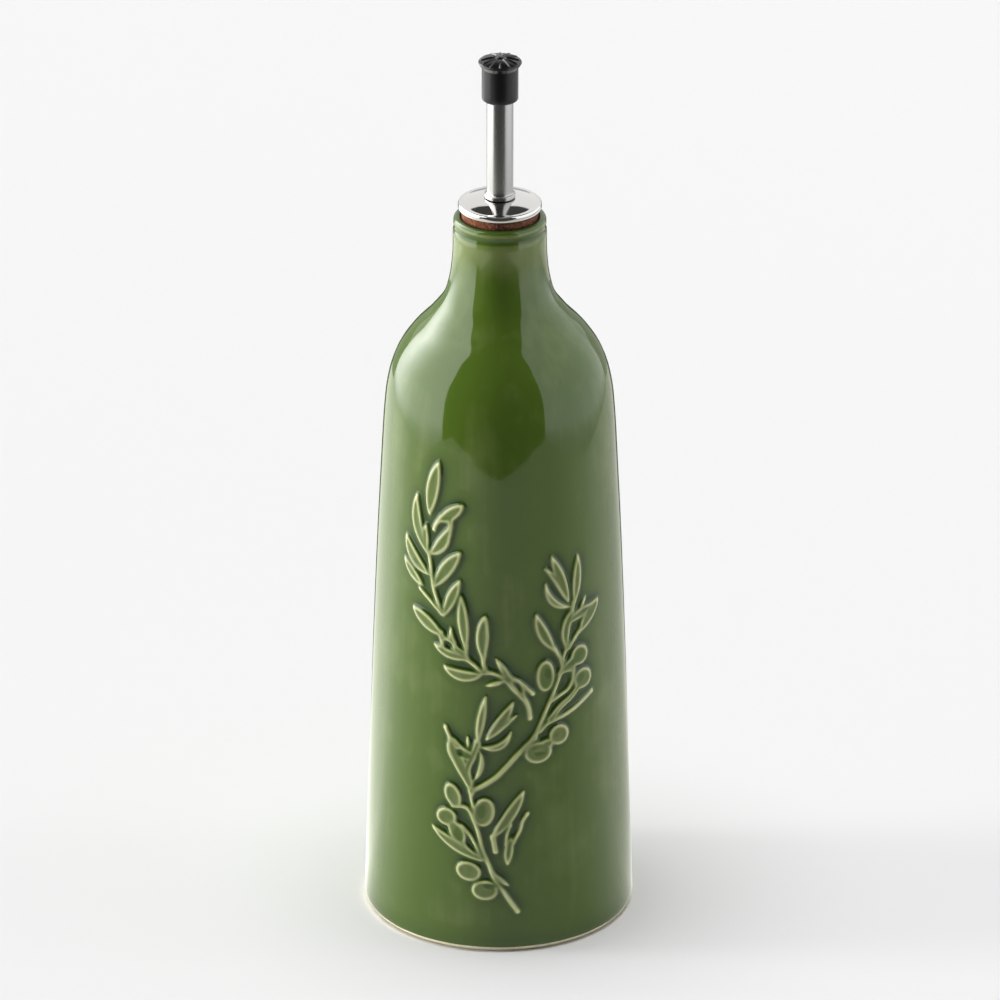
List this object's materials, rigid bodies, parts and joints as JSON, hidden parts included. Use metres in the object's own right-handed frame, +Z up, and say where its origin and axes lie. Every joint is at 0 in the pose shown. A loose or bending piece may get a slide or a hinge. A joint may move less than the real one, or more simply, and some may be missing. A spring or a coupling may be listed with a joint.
{
  "type": "oil cruet",
  "caption": "Shut oil cruet: tapered green stoneware bottle with an olive branch in relief, cork, domed steel flange, tube spout and ribbed black cap.",
  "frame": {"origin": "middle of the foot, on the surface that the cruet stands on", "axes": "+Z up along the bottle's axis; the relief faces -Y and +X is to its right"},
  "size_m": [0.0916, 0.092, 0.3111],
  "materials": {
    "green_glaze": "glossy translucent green glaze over cream stoneware, pale where it thins on the relief's edges",
    "cork": "fine reddish-brown cork",
    "polished_steel": "polished stainless steel",
    "brushed_steel": "drawn stainless steel tube, satin",
    "black_cap": "satin black moulded plastic"
  },
  "bodies": {
    "root": {"bottle": "green_glaze", "cork": "cork", "flange": "polished_steel", "spout": "brushed_steel", "cap": "black_cap"}
  },
  "joints": []
}
